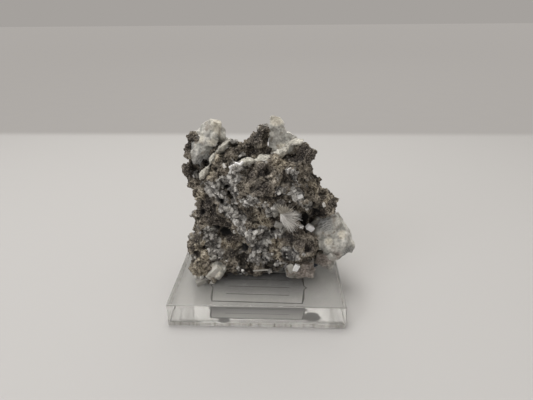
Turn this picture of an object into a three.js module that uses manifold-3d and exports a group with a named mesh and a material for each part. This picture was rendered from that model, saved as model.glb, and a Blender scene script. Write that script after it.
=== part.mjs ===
// A mesolite specimen: a lump of brown-grey volcanic rock with vugs, glassy crystal masses grown on it, a
// radiating spray of mesolite needles in its front vug, and a fine tuft under its brow. Two pads of putty fix
// the specimen on a square slab of clear acrylic, which carries a paper label in a shallow seat under it.
// Millimetres, +Z up, the front faces -Y. The origin is the middle of the slab's underside.

import * as THREE from "three";
import { triTable } from "three/addons/objects/MarchingCubes.js";
import { mergeVertices } from "three/addons/utils/BufferGeometryUtils.js";
import Module from "manifold-3d";

const wasm = await Module();
wasm.setup();

// Driving dimensions.
const SLAB_SIDE = 50.8;
const SLAB_HEIGHT = 7.4;
const SLAB_CORNER = 0.5; // bevel on the slab's edges
const LABEL_WIDTH = 28;
const LABEL_DEPTH = 17;
const LABEL_THICKNESS = 0.2;
const LABEL_MIDDLE_Y = -11.5;
const SEAT_CLEARANCE = 0.2; // round the label, in the seat that holds it
const GAP = 0.3; // between pieces that touch
const STONE_FLOOR = SLAB_HEIGHT + GAP; // the specimen's lowest level

// Numbers between 0 and 1 that come out the same on every run.
function scatter(a, b, c) {
  const s = Math.sin(a * 127.1 + b * 311.7 + c * 74.7) * 43758.5453;
  return s - Math.floor(s);
}

// Smooth lumpy noise between -1 and 1 at a point.
function lumpiness(p, seed) {
  const cell = [p.x, p.y, p.z].map(Math.floor);
  const part = [p.x - cell[0], p.y - cell[1], p.z - cell[2]].map((t) => t * t * (3 - 2 * t));
  let sum = 0;
  for (let corner = 0; corner < 8; corner++) {
    const step = [corner & 1, (corner >> 1) & 1, corner >> 2];
    const weight = step.reduce((w, s, i) => w * (s ? part[i] : 1 - part[i]), 1);
    sum += weight * scatter(cell[0] + step[0] + seed, cell[1] + step[1] - seed, cell[2] + step[2]);
  }
  return 2 * sum - 1;
}

// A three.js geometry as a solid that can be joined and cut.
function solid(geometry) {
  const bare = geometry.clone();
  bare.deleteAttribute("normal");
  bare.deleteAttribute("uv");
  const merged = mergeVertices(bare, 1e-4);
  const mesh = new wasm.Mesh({
    numProp: 3,
    vertProperties: new Float32Array(merged.attributes.position.array),
    triVerts: new Uint32Array(merged.index.array),
  });
  return new wasm.Manifold(mesh);
}

// A solid as a three.js geometry.
function geometryOf(body) {
  const mesh = body.getMesh();
  const positions = new Float32Array(mesh.numVert * 3);
  for (let i = 0; i < mesh.numVert; i++) {
    positions.set(mesh.vertProperties.subarray(i * mesh.numProp, i * mesh.numProp + 3), i * 3);
  }
  const geometry = new THREE.BufferGeometry();
  geometry.setAttribute("position", new THREE.BufferAttribute(positions, 3));
  geometry.setIndex(new THREE.BufferAttribute(new Uint32Array(mesh.triVerts), 1));
  geometry.computeVertexNormals();
  return geometry;
}

const joined = (bodies) => bodies.reduce((whole, body) => whole.add(body));
const cutBy = (body, tools) => tools.reduce((rest, tool) => rest.subtract(tool), body);

const DEGREES = Math.PI / 180;

// The stone's grain: every lump is shaken by the same field, so that lumps which touch still fit each other.
const SHAKES = [
  { wave: 5.2, size: 1.1 },
  { wave: 2.3, size: 0.55 },
];

function shaken(p) {
  const moved = p.clone();
  for (const { wave, size } of SHAKES) {
    const q = p.clone().divideScalar(wave).addScalar(30);
    moved.x += size * lumpiness(q, 3);
    moved.y += size * lumpiness(q, 17);
    moved.z += size * lumpiness(q, 29);
  }
  return moved;
}

// A lump has flat broken faces. Each has a normal and a reach, where it trims a ball of radius 1.
const seedOf = (at) => at[0] * 1.7 + at[1] * 2.3 + at[2] * 0.9;

function brokenFaces(seed, count, least, most) {
  return Array.from({ length: count }, (_, i) => {
    const normal = new THREE.Vector3(
      scatter(seed, i, 1) - 0.5, scatter(seed, i, 2) - 0.5, scatter(seed, i, 3) - 0.5);
    return { normal: normal.normalize(), reach: least + (most - least) * scatter(seed, i, 4) };
  });
}

// A lump of crystal: a ball trimmed by its broken faces, stretched to its half-sizes, turned, put in place
// and shaken. "grow" adds to each half-size.
const ROUGHNESS = 0.1;
const LARGE = 4.5; // the mean half-size from which a lump gets more facets

function lump({ at, half, turn = [0, 0, 0], breaks = 7 }, grow = 0) {
  const seed = seedOf(at);
  const size = (half[0] + half[1] + half[2]) / 3;
  const ball = new THREE.IcosahedronGeometry(1, size > LARGE ? 2 : 1);
  const faces = brokenFaces(seed, breaks, 0.7, 0.9);
  const turned = turning(turn);
  const middle = new THREE.Vector3(...at);
  const positions = ball.attributes.position;
  const p = new THREE.Vector3();
  for (let i = 0; i < positions.count; i++) {
    p.fromBufferAttribute(positions, i).normalize();
    let reach = 1 + ROUGHNESS * lumpiness(p.clone().multiplyScalar(1.7).addScalar(40), seed);
    for (const face of faces) {
      const slope = face.normal.dot(p);
      if (slope > 0.05) reach = Math.min(reach, face.reach / slope);
    }
    p.multiplyScalar(reach).multiply(new THREE.Vector3(...half).addScalar(grow));
    const settled = shaken(p.applyMatrix4(turned).add(middle));
    positions.setXYZ(i, settled.x, settled.y, settled.z);
  }
  return solid(ball);
}

function turning(degrees) {
  return new THREE.Matrix4().makeRotationFromEuler(new THREE.Euler(...degrees.map((d) => d * DEGREES)));
}

// A blocky crystal: a box turned three ways.
function block({ at, half, turn }, grow = 0) {
  const shape = new THREE.BoxGeometry(...half.map((h) => 2 * (h + grow)));
  shape.applyMatrix4(turning(turn));
  shape.translate(...at);
  return solid(shape);
}

// A pointed crystal: four flat faces that meet in a tip over the middle of its foot.
function spire({ at, wide, deep, high, turn }, grow = 0) {
  const shape = new THREE.ConeGeometry(1, high + 2 * grow, 4);
  shape.rotateX(Math.PI / 2);
  shape.translate(0, 0, high / 2);
  shape.rotateZ(turn[2] * DEGREES);
  shape.scale(wide + grow, deep + grow, 1);
  shape.applyMatrix4(turning([turn[0], turn[1], 0]));
  shape.translate(...at);
  return solid(shape);
}

// The rock's main lumps: its lower body, its upper body, its left side and its back.
const BODY_LUMPS = [
  { at: [0, 0, 19], half: [19, 13, 13.5], turn: [0, 0, 8] },
  { at: [2.5, 0, 32.5], half: [15.5, 13, 13], turn: [0, 12, 0] },
  { at: [-11, -1, 30], half: [10, 11, 13] },
  { at: [-6, 8, 26], half: [14, 8.5, 15] },
  { at: [9, 8, 25], half: [12.5, 8.5, 14] },
];

// Knobs, ledges and blocks that give the outline and the front their form.
const KNOBS = {
  leftFoot: { at: [-17.2, -11, 12.6], half: [4, 6.6, 8.4] },
  leftFootTop: { at: [-18.6, -7.5, 16.4], half: [3.6, 5, 4] },
  leftBulge: { at: [-15.4, -4.5, 27.4], half: [4.8, 8.5, 6] },
  leftWaist: { at: [-15.6, -3.5, 34.5], half: [4.2, 7, 5.5] },
  lowerMiddle: { at: [-6.5, -7, 13], half: [8.5, 7.5, 7.6] },
  lowerCentre: { at: [2.5, -7, 14], half: [6.5, 6.5, 6] },
  lowerRight: { at: [11.6, -6.5, 16.5], half: [7.6, 8.2, 7.4] },
  middleKnob: { at: [1.2, -10, 26.5], half: [4.4, 4.5, 3.4] },
  rightUnder: { at: [18, 0, 17], half: [6, 8, 7] },
  rightShoulder: { at: [13.4, -3, 32.6], half: [5.6, 9, 5.2] },
  rightShoulderLow: { at: [19.2, -3.5, 28.2], half: [4.4, 7, 3.6] },
  topRightBlock: { at: [12.4, -2, 42.6], half: [3.5, 7, 6.2], turn: [0, 10, 0] },
  brow: { at: [3.6, -6, 38], half: [11, 8, 6.6], turn: [0, -20, 0] },
  topKnob: { at: [-0.4, 1, 47.4], half: [4, 5, 5.2] },
  topSpur: { at: [2, 1, 49.9], half: [2.4, 3.4, 3.2], turn: [0, 25, 0] },
  leftRidge: { at: [-9.6, -4.5, 43], half: [6, 6, 5], turn: [0, -30, 0] },
  leftRidgeTop: { at: [-6.4, -2, 46], half: [3, 4.5, 3.4] },
  leftEdgeHigh: { at: [-18.6, 0.5, 47.2], half: [2.8, 4.6, 3.8] },
  leftEdgeLow: { at: [-19, -1, 39.4], half: [2.6, 5, 4] },
};

// Vugs and clefts that open on the front.
const HOLLOWS = {
  darkVug: { at: [14, -12.4, 29.2], half: [3.8, 8, 3.4], breaks: 0, turn: [0, -20, 0] },
  vugCorner: { at: [17.2, -11, 26.6], half: [2.4, 5, 1.9], breaks: 0 },
  cleftLeft: { at: [-8.8, -14, 35.4], half: [2.2, 3.4, 1.3], breaks: 0, turn: [0, 20, 0] },
  cleftMiddle: { at: [-7.4, -14, 32.2], half: [3, 3.4, 1.4], breaks: 0, turn: [0, 30, 0] },
  cleftUnderSpray: { at: [6.2, -14.4, 27.2], half: [2.2, 3.6, 1.3], breaks: 0, turn: [0, 12, 0] },
  hollowBulge: { at: [-11.4, -13.4, 23.6], half: [4.4, 4.6, 2.8], breaks: 0 },
  hollowLow: { at: [-5.6, -14.8, 20], half: [4.2, 4.8, 2.6], breaks: 0, turn: [0, 25, 0] },
  hollowFoot: { at: [14.4, -14.2, 15.2], half: [1.9, 4, 1.6], breaks: 0 },
  valley: { at: [-3.6, -2, 52.6], half: [2.6, 9, 4], breaks: 0 },
};

// The rock's surface: how softly its lumps run together, its grain, and its nodules and pits.
const BLEND = 0.9;
const WORN = 0.4; // how far the lumps lie under the surface that the nodules are counted from
const GRAINS = [
  { wave: 7, size: 1.2 },
  { wave: 4.6, size: 0.6 },
];
const NODULES = { spacing: 5.6, reach: 3, height: 1.7, seed: 8 };
const PITS = { spacing: 6.4, reach: 2.4, height: -1.9, seed: 23 };
const ROCK_CELL = 3.05; // the size of the facets that the rock's surface is cut into
const ROCK_BOX = { low: [-29, -24, 0], high: [33, 24, 61] };

// The glassy masses: a flat-faced body each, and blocky crystals that stand out of its free side. "crystals"
// says how many there are, their largest half-size and the way they face; "blocks" and "spires", which are
// four-sided points, give the outline its corners.
const MASSES = {
  crystal_mass_upper_left: {
    body: { at: [-14.8, 0.8, 45], half: [6.5, 6.4, 7.2], breaks: 9 },
    crystals: { count: 8, half: 2, facing: [-0.4, -0.8, 0.6] },
    blocks: [{ at: [-12.4, -0.2, 49.6], half: [2.1, 2.4, 2.1], turn: [20, 40, 10] }],
    spires: [],
  },
  crystal_fin_top: {
    body: { at: [7.2, 0.8, 45.8], half: [4.8, 4.4, 4.2], breaks: 8, turn: [0, 20, 0] },
    crystals: { count: 3, half: 1.4, facing: [0.1, -0.6, 1] },
    blocks: [{ at: [9.2, -0.4, 48], half: [1.5, 1.8, 2], turn: [-12, 32, 0] }],
    spires: [
      { at: [6.2, 0.6, 45.2], wide: 6.4, deep: 4.8, high: 9.6, turn: [0, 0, 45] },
      { at: [4, -1.8, 44.4], wide: 3, deep: 2.8, high: 6, turn: [6, -4, 30] },
      { at: [8.6, -1.6, 44.8], wide: 3, deep: 2.6, high: 5.8, turn: [4, 8, 60] },
    ],
  },
  crystal_mass_right: {
    body: { at: [23, -4.6, 18.8], half: [6.8, 7, 7.8], breaks: 10 },
    crystals: { count: 8, half: 2, facing: [1, -0.6, -0.1] },
    blocks: [
      { at: [25.6, -5.4, 17.6], half: [2.9, 3.6, 2.6], turn: [8, 40, 6] },
      { at: [21.4, -6.4, 12.4], half: [3, 3.2, 2.2], turn: [15, 12, -20] },
    ],
    spires: [],
  },
  crystal_mass_foot: {
    body: { at: [13.3, -10, 10.4], half: [4.4, 4, 3.6], breaks: 8 },
    crystals: { count: 4, half: 1.5, facing: [0.2, -1, 0] },
    blocks: [{ at: [10.8, -11.8, 10.6], half: [1.5, 1.6, 2.4], turn: [20, 35, 10] }],
    spires: [],
  },
  crystal_patch_left_foot: {
    body: { at: [-13.2, -12.6, 10], half: [2.9, 2.8, 3.2], breaks: 7 },
    crystals: { count: 3, half: 1.2, facing: [0, -1, 0] },
    blocks: [],
    spires: [],
  },
};

const FREE_SIDE = 105; // degrees from the way that the crystals of a mass face

// The pale veins: one along the brow, one along the left ridge, each from its left end to its right end.
const VEINS = {
  pale_vein_brow: [
    { at: [-2.8, -7.4, 43.4], half: [3.2, 2.4, 1.5], turn: [0, -14, 0] },
    { at: [1.8, -6.8, 44.8], half: [3.4, 2.6, 1.5], turn: [0, -18, 0] },
    { at: [6.4, -5.8, 46.4], half: [3.4, 2.8, 1.5], turn: [0, -24, 0] },
    { at: [10.6, -4.2, 48.4], half: [2.8, 3, 1.5], turn: [0, -30, 0] },
  ],
  pale_vein_left: [
    { at: [-15.2, -7.4, 40.2], half: [1.4, 2, 2.8], turn: [0, 30, 0] },
    { at: [-12.8, -6.4, 44], half: [1.4, 2.2, 3.4], turn: [0, 36, 0] },
    { at: [-9.6, -5, 47.4], half: [1.5, 2.4, 3], turn: [0, 52, 0] },
  ],
};

// Where small flat-faced crystals crowd on the front of the rock: middle x and z, half-width and half-height,
// how many there are, and their largest radius.
const DRUSES = [
  { x: -8, z: 39.5, wide: 4, high: 3, count: 3, radius: 1.1 },
  { x: -5, z: 33, wide: 4, high: 3, count: 3, radius: 1.1 },
  { x: 0, z: 29.5, wide: 5, high: 2.5, count: 3, radius: 1.1 },
  { x: 12.5, z: 38.5, wide: 3, high: 2, count: 3, radius: 1 },
  { x: -13, z: 20, wide: 1.6, high: 5, count: 3, radius: 1 },
  { x: -4, z: 11.5, wide: 6, high: 2.5, count: 3, radius: 1.3 },
  { x: 5, z: 11.5, wide: 5, high: 2.5, count: 3, radius: 1.3 },
];

// Needles of mesolite that spread from one point, fused to the boss that they grow from.
const SPRAYS = {
  mesolite_spray: {
    at: [8.4, -11.2, 29.4],
    facing: [0.1, -1, 0.05],
    length: 4.8,
    boss: 1.5,
    count: 40,
    spread: 86,
  },
  mesolite_tuft_brow: {
    at: [-6, -9.6, 41.8],
    facing: [-0.1, -1, 0.35],
    length: 2.6,
    boss: 1.1,
    count: 16,
    spread: 75,
  },
};
const NEEDLE_RADIUS = 0.22;

// The putty pads under the specimen: middle, half-width and half-depth.
const PADS = {
  putty_left: { x: -15.5, y: -4.5, wide: 3.6, deep: 2.8 },
  putty_right: { x: 14.6, y: -3, wide: 5, deep: 3.4 },
};
const PAD_HEIGHT = 1.6;

// Everything under this level is cut away, so that the specimen stands level.
function below(level) {
  const depth = 40;
  const box = new THREE.BoxGeometry(120, 120, depth);
  box.translate(0, 0, level - depth / 2);
  return solid(box);
}

function crystalMass({ body, crystals, blocks, spires }, grow = 0) {
  const spots = fan(crystals.facing, FREE_SIDE, crystals.count);
  const grown = spots.map((way, i) => {
    const size = crystals.half * (0.55 + 0.45 * scatter(i, body.at[0], 1));
    return {
      at: way.toArray().map((w, axis) => body.at[axis] + w * (body.half[axis] - size * 0.75)),
      half: [size, size * 0.9, size * 1.15],
      turn: [0, 1, 2].map((axis) => 180 * scatter(i, axis, body.at[2])),
    };
  });
  return joined([
    lump(body, grow),
    ...[...grown, ...blocks].map((b) => block(b, grow)),
    ...spires.map((s) => spire(s, grow)),
  ]);
}

// The pads and the veins with the gap round them, for what they are cut out of.
function padsAndVeins() {
  return [
    ...Object.values(PADS).map((where) => pad(where, GAP)),
    ...Object.values(VEINS).map((pieces) => vein(pieces, GAP)),
  ];
}

function vein(pieces, grow = 0) {
  return joined(pieces.map((piece) => lump(piece, grow)));
}

// Directions spread evenly over a cap that opens by "spread" degrees from "facing".
function fan(facing, spread, count) {
  const turn = new THREE.Quaternion().setFromUnitVectors(
    new THREE.Vector3(0, 0, 1), new THREE.Vector3(...facing).normalize());
  const lowest = Math.cos(spread * DEGREES);
  const goldenAngle = Math.PI * (3 - Math.sqrt(5));
  return Array.from({ length: count }, (_, i) => {
    const z = 1 - (1 - lowest) * ((i + 0.5) / count);
    const ring = Math.sqrt(1 - z * z);
    const angle = i * goldenAngle;
    return new THREE.Vector3(ring * Math.cos(angle), ring * Math.sin(angle), z).applyQuaternion(turn);
  });
}

function spray({ at, facing, length, boss, count, spread }) {
  const seat = new THREE.IcosahedronGeometry(boss, 0);
  seat.translate(...at);
  const needles = fan(facing, spread, count).map((way, i) => {
    const reach = length * (0.82 + 0.18 * scatter(i, at[0], 5));
    const needle = new THREE.ConeGeometry(NEEDLE_RADIUS, reach, 3);
    needle.translate(0, reach / 2, 0);
    needle.applyQuaternion(new THREE.Quaternion().setFromUnitVectors(new THREE.Vector3(0, 1, 0), way));
    needle.translate(...at);
    return solid(needle);
  });
  return joined([solid(seat), ...needles]);
}

// The room that a spray needs in the rock: a bowl for its needles, and a seat round its boss.
const BOWL_DEPTH = 0.8; // how far the bowl goes back from the point that the needles spread from
const BOWL_STEPS = 4;

function sprayRoom({ at, facing, length, boss }) {
  const reach = length + GAP;
  const profile = [new THREE.Vector2(0, -BOWL_DEPTH), new THREE.Vector2(reach, -BOWL_DEPTH)];
  for (let i = 0; i < BOWL_STEPS; i++) {
    const rise = (i / BOWL_STEPS) * (Math.PI / 2);
    profile.push(new THREE.Vector2(reach * Math.cos(rise), reach * Math.sin(rise)));
  }
  profile.push(new THREE.Vector2(0, reach));
  const bowl = new THREE.LatheGeometry(profile, 14);
  bowl.applyQuaternion(new THREE.Quaternion().setFromUnitVectors(
    new THREE.Vector3(0, 1, 0), new THREE.Vector3(...facing).normalize()));
  bowl.translate(...at);
  const seat = new THREE.IcosahedronGeometry(boss + GAP, 0);
  seat.translate(...at);
  return solid(bowl).add(solid(seat));
}

function pad({ x, y, wide, deep }, grow = 0) {
  const profile = [
    new THREE.Vector2(0, 0),
    new THREE.Vector2(1, 0),
    new THREE.Vector2(0.96, 0.55),
    new THREE.Vector2(0.7, 1),
    new THREE.Vector2(0, 1),
  ];
  const disc = new THREE.LatheGeometry(profile, 12);
  disc.rotateX(Math.PI / 2);
  disc.scale(wide + grow, deep + grow, PAD_HEIGHT + grow);
  disc.translate(x, y, SLAB_HEIGHT + 0.02);
  return solid(disc);
}

// A function that gives how far a point is outside a trimmed lump; it is negative inside.
function lumpDistance({ at, half, turn = [0, 0, 0], breaks = 5 }) {
  const middle = new THREE.Vector3(...at);
  const size = new THREE.Vector3(...half);
  const unturn = turning(turn).invert();
  const faces = brokenFaces(seedOf(at), breaks, 0.78, 0.94);
  return (point) => {
    const q = point.clone().sub(middle).applyMatrix4(unturn);
    const u = q.clone().divide(size);
    const k0 = u.length();
    const k1 = u.clone().divide(size).length() || 1;
    const trims = faces.map(({ normal, reach }) => (
      (normal.dot(u) - reach) / normal.clone().divide(size).length()));
    return Math.max((k0 * (k0 - 1)) / k1, ...trims);
  };
}

// The smaller of two distances, rounded where they are nearly alike.
function softMin(a, b) {
  const h = Math.max(BLEND - Math.abs(a - b), 0) / BLEND;
  return Math.min(a, b) - (h * h * BLEND) / 4;
}

// The height at a point of round bumps, one in each cell of a grid, each in its own place in its cell.
function bumps(point, { spacing, reach, height, seed }) {
  const q = point.clone().divideScalar(spacing);
  const home = q.clone().floor();
  let nearest = Infinity;
  for (let n = 0; n < 27; n++) {
    const step = new THREE.Vector3((n % 3) - 1, (Math.floor(n / 3) % 3) - 1, Math.floor(n / 9) - 1);
    const cell = home.clone().add(step);
    const jitter = [0, 1, 2].map((axis) => scatter(cell.x + axis * 7, cell.y + seed, cell.z - axis * 3));
    const spot = cell.add(new THREE.Vector3(...jitter));
    nearest = Math.min(nearest, spot.distanceTo(q) * spacing);
  }
  return height * Math.max(0, 1 - (nearest / reach) ** 2);
}

// How far a point is outside the rock.
function rockDistance() {
  const lumps = [...BODY_LUMPS, ...Object.values(KNOBS)].map(lumpDistance);
  const hollows = Object.values(HOLLOWS).map(lumpDistance);
  return (point) => {
    const p = shaken(point);
    let d = lumps.map((far) => far(p)).reduce(softMin) + WORN;
    for (const { wave, size } of GRAINS) {
      d += size * lumpiness(point.clone().divideScalar(wave).addScalar(50), 11);
    }
    d -= bumps(point, NODULES) + bumps(point, PITS);
    return -hollows.map((far) => far(p)).reduce((rest, hollow) => softMin(rest, hollow), -d);
  };
}

// Corners of a grid cell, and its edges as pairs of corners, in triTable's order.
const CORNERS = [[0, 0, 0], [1, 0, 0], [1, 1, 0], [0, 1, 0], [0, 0, 1], [1, 0, 1], [1, 1, 1], [0, 1, 1]];
const EDGES = [
  [0, 1], [1, 2], [2, 3], [3, 0], [4, 5], [5, 6], [6, 7], [7, 4], [0, 4], [1, 5], [2, 6], [3, 7],
];

// The surface where a distance is zero, by marching cubes, as one closed body. A corner of the surface keeps
// clear of the grid's own corners, so that no facet is a sliver.
const CLEAR = 0.14;

function surfaceOf(distance, { low, high }, cell) {
  const counts = low.map((l, axis) => Math.ceil((high[axis] - l) / cell) + 1);
  const place = (i, j, k) => new THREE.Vector3(low[0] + i * cell, low[1] + j * cell, low[2] + k * cell);
  const number = (i, j, k) => i + counts[0] * (j + counts[1] * k);
  const values = new Float64Array(counts[0] * counts[1] * counts[2]);
  for (let k = 0; k < counts[2]; k++) {
    for (let j = 0; j < counts[1]; j++) {
      for (let i = 0; i < counts[0]; i++) values[number(i, j, k)] = distance(place(i, j, k));
    }
  }
  const vertices = [];
  const known = new Map();
  const vertexOn = (a, b) => {
    const [first, last] = number(...a) < number(...b) ? [a, b] : [b, a];
    const key = number(...first) * values.length + number(...last);
    if (!known.has(key)) {
      const [from, to] = [values[number(...first)], values[number(...last)]];
      const share = THREE.MathUtils.clamp(from / (from - to), CLEAR, 1 - CLEAR);
      known.set(key, vertices.length / 3);
      vertices.push(...place(...first).lerp(place(...last), share).toArray());
    }
    return known.get(key);
  };
  const triangles = [];
  for (let k = 0; k + 1 < counts[2]; k++) {
    for (let j = 0; j + 1 < counts[1]; j++) {
      for (let i = 0; i + 1 < counts[0]; i++) {
        const corners = CORNERS.map(([x, y, z]) => [i + x, j + y, k + z]);
        const kind = corners.reduce((bits, c, n) => bits | (values[number(...c)] > 0 ? 1 << n : 0), 0);
        for (let t = kind * 16; triTable[t] !== -1; t++) {
          const [a, b] = EDGES[triTable[t]];
          triangles.push(vertexOn(corners[a], corners[b]));
        }
      }
    }
  }
  const geometry = new THREE.BufferGeometry();
  geometry.setAttribute("position", new THREE.BufferAttribute(new Float32Array(vertices), 3));
  geometry.setIndex(triangles);
  return solid(geometry);
}

// A finder of points on a body: it gives where a line from "from" towards "way" first meets the body.
function surfaceFinder(body) {
  const mesh = new THREE.Mesh(geometryOf(body), new THREE.MeshBasicMaterial());
  mesh.updateMatrixWorld(true);
  const ray = new THREE.Raycaster();
  return (from, way) => {
    ray.set(from, way);
    return ray.intersectObject(mesh)[0];
  };
}

// Small crystals stand on the rock where a line from the front first meets it.
function druse(find, { x, z, wide, high, count, radius }) {
  const crystals = [];
  for (let i = 0; i < count; i++) {
    const from = new THREE.Vector3(
      x + wide * (2 * scatter(i, x, z) - 1), -60, z + high * (2 * scatter(i, z, x + 9) - 1));
    const hit = find(from, new THREE.Vector3(0, 1, 0));
    if (!hit) continue;
    const size = radius * (0.6 + 0.4 * scatter(i, x, 11));
    crystals.push(block({
      at: hit.point.toArray(),
      half: [size, size * 0.9, size * 1.2],
      turn: [0, 1, 2].map((axis) => 180 * scatter(i, axis, x + z)),
    }));
  }
  return crystals;
}

function acrylicSlab() {
  const flat = SLAB_SIDE - 2 * SLAB_CORNER;
  const outline = new THREE.Shape();
  outline.moveTo(-flat / 2, -flat / 2);
  outline.lineTo(flat / 2, -flat / 2);
  outline.lineTo(flat / 2, flat / 2);
  outline.lineTo(-flat / 2, flat / 2);
  outline.closePath();
  const shape = new THREE.ExtrudeGeometry(outline, {
    depth: SLAB_HEIGHT - 2 * SLAB_CORNER,
    bevelEnabled: true,
    bevelThickness: SLAB_CORNER,
    bevelSize: SLAB_CORNER,
    bevelSegments: 2,
  });
  shape.translate(0, 0, SLAB_CORNER);
  const seatHeight = LABEL_THICKNESS + SEAT_CLEARANCE;
  const seat = new THREE.BoxGeometry(
    LABEL_WIDTH + 2 * SEAT_CLEARANCE, LABEL_DEPTH + 2 * SEAT_CLEARANCE, 2 * seatHeight);
  seat.translate(0, LABEL_MIDDLE_Y, 0);
  return solid(shape).subtract(solid(seat));
}

// The label's outline has a notch in the middle of each short side.
function paperLabel() {
  const w = LABEL_WIDTH / 2;
  const d = LABEL_DEPTH / 2;
  const notch = 0.9;
  const outline = new THREE.Shape();
  outline.moveTo(-w, -d);
  outline.lineTo(w, -d);
  outline.lineTo(w, -notch);
  outline.lineTo(w - notch, 0);
  outline.lineTo(w, notch);
  outline.lineTo(w, d);
  outline.lineTo(-w, d);
  outline.lineTo(-w, notch);
  outline.lineTo(-w + notch, 0);
  outline.lineTo(-w, -notch);
  outline.closePath();
  const sheet = new THREE.ExtrudeGeometry(outline, { depth: LABEL_THICKNESS, bevelEnabled: false });
  sheet.translate(0, LABEL_MIDDLE_Y, 0);
  return solid(sheet);
}

function rock() {
  const stone = surfaceOf(rockDistance(), ROCK_BOX, ROCK_CELL);
  const find = surfaceFinder(stone);
  const crusted = joined([stone, ...DRUSES.flatMap((patch) => druse(find, patch))]);
  const neighbours = [
    below(STONE_FLOOR),
    ...Object.values(MASSES).map((mass) => crystalMass(mass, GAP)),
    ...Object.values(SPRAYS).map(sprayRoom),
    ...padsAndVeins(),
  ];
  return largest(cutBy(crusted, neighbours));
}

// Cutting can leave loose crumbs; only the one large piece is kept.
function largest(body) {
  return body.decompose().sort((a, b) => b.volume() - a.volume())[0];
}

const FINISHES = {
  rock: { color: 0x6b645a, roughness: 0.9, metalness: 0 },
  glassy: { color: 0xb9bab8, roughness: 0.25, metalness: 0 },
  vein: { color: 0xd0cec2, roughness: 0.6, metalness: 0 },
  mesolite: { color: 0xe9e4da, roughness: 0.4, metalness: 0 },
  acrylic: { color: 0xe6eae8, roughness: 0.05, metalness: 0 },
  paper: { color: 0x9a9da3, roughness: 0.7, metalness: 0 },
  putty: { color: 0x50555c, roughness: 0.6, metalness: 0 },
};

const specimen = new THREE.Group();

function place(name, body, finish) {
  const mesh = new THREE.Mesh(geometryOf(body), new THREE.MeshStandardMaterial(FINISHES[finish]));
  mesh.name = name;
  specimen.add(mesh);
}

place("acrylic_base", acrylicSlab(), "acrylic");
place("label", paperLabel(), "paper");
for (const [name, where] of Object.entries(PADS)) place(name, pad(where), "putty");
place("matrix_rock", rock(), "rock");
for (const [name, mass] of Object.entries(MASSES)) {
  place(name, cutBy(crystalMass(mass), [below(STONE_FLOOR), ...padsAndVeins()]), "glassy");
}
for (const [name, pieces] of Object.entries(VEINS)) place(name, vein(pieces), "vein");
for (const [name, where] of Object.entries(SPRAYS)) place(name, spray(where), "mesolite");

export default specimen;
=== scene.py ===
import math
import bpy
import numpy as np
from mathutils import Matrix, Vector


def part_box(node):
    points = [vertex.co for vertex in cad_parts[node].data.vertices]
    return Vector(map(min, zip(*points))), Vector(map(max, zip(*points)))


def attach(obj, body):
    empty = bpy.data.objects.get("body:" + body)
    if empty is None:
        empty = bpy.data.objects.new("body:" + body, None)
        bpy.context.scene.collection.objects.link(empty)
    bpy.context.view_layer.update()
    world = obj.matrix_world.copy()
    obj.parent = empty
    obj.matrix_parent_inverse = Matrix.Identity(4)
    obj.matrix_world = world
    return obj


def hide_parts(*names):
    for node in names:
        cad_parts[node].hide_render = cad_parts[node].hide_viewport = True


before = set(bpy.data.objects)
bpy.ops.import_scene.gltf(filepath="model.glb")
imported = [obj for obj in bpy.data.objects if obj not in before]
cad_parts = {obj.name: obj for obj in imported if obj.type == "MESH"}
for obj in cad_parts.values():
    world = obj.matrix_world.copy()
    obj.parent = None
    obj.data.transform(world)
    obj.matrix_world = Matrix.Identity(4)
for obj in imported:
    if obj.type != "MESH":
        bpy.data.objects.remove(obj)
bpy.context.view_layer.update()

# The stage: a camera that looks down on the specimen's front from just over its top, a pale matt table whose
# far part lies in a greyer light, and soft light from above, from the left and from far behind.
MM = 0.001
CAMERA_PLACE = (6.5, -115.3, 79.5)
CAMERA_TURN = {"yaw": -2.08, "pitch": 23.78, "roll": -0.43}
SENSOR_WIDTH = 36.0
LENS = 27.0
TABLE_SIDE = 60.0
TABLE_DROP = 0.05  # the air under the slab
TABLE_GREY_FROM = 184.0
TABLE_GREY_TO = 202.0

yaw, pitch, roll = (math.radians(CAMERA_TURN[name]) for name in ("yaw", "pitch", "roll"))
forward = Vector((math.sin(yaw) * math.cos(pitch), math.cos(yaw) * math.cos(pitch), -math.sin(pitch)))
level = Vector((math.cos(yaw), -math.sin(yaw), 0))
upward = level.cross(forward)
across = math.cos(roll) * level + math.sin(roll) * upward
upright = math.cos(roll) * upward - math.sin(roll) * level
bpy.ops.object.camera_add(location=Vector(CAMERA_PLACE) * MM)
camera = bpy.context.object
turn = Matrix((across, upright, -forward)).transposed()
camera.rotation_euler = turn.to_euler()
camera.data.sensor_width = SENSOR_WIDTH
camera.data.lens = LENS
camera.data.clip_start = 0.005
bpy.context.scene.camera = camera
bpy.context.scene.view_settings.view_transform = "Standard"


def paint(code):
    """A colour as the shaders take it, from its hex code."""
    shares = [int(code[i:i + 2], 16) / 255 for i in (1, 3, 5)]
    return tuple(s / 12.92 if s <= 0.04045 else ((s + 0.055) / 1.055) ** 2.4 for s in shares) + (1.0,)


def soft_light(name, place, aim, side, power, colour):
    """A square lamp at a place in millimetres, turned to shine at another."""
    bpy.ops.object.light_add(type="AREA", location=Vector(place) * MM)
    lamp = bpy.context.object
    lamp.name = name
    lamp.data.size = side * MM
    lamp.data.energy = power
    lamp.data.color = paint(colour)[:3]
    lamp.rotation_euler = (Vector(aim) - Vector(place)).to_track_quat("-Z", "Y").to_euler()


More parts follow.
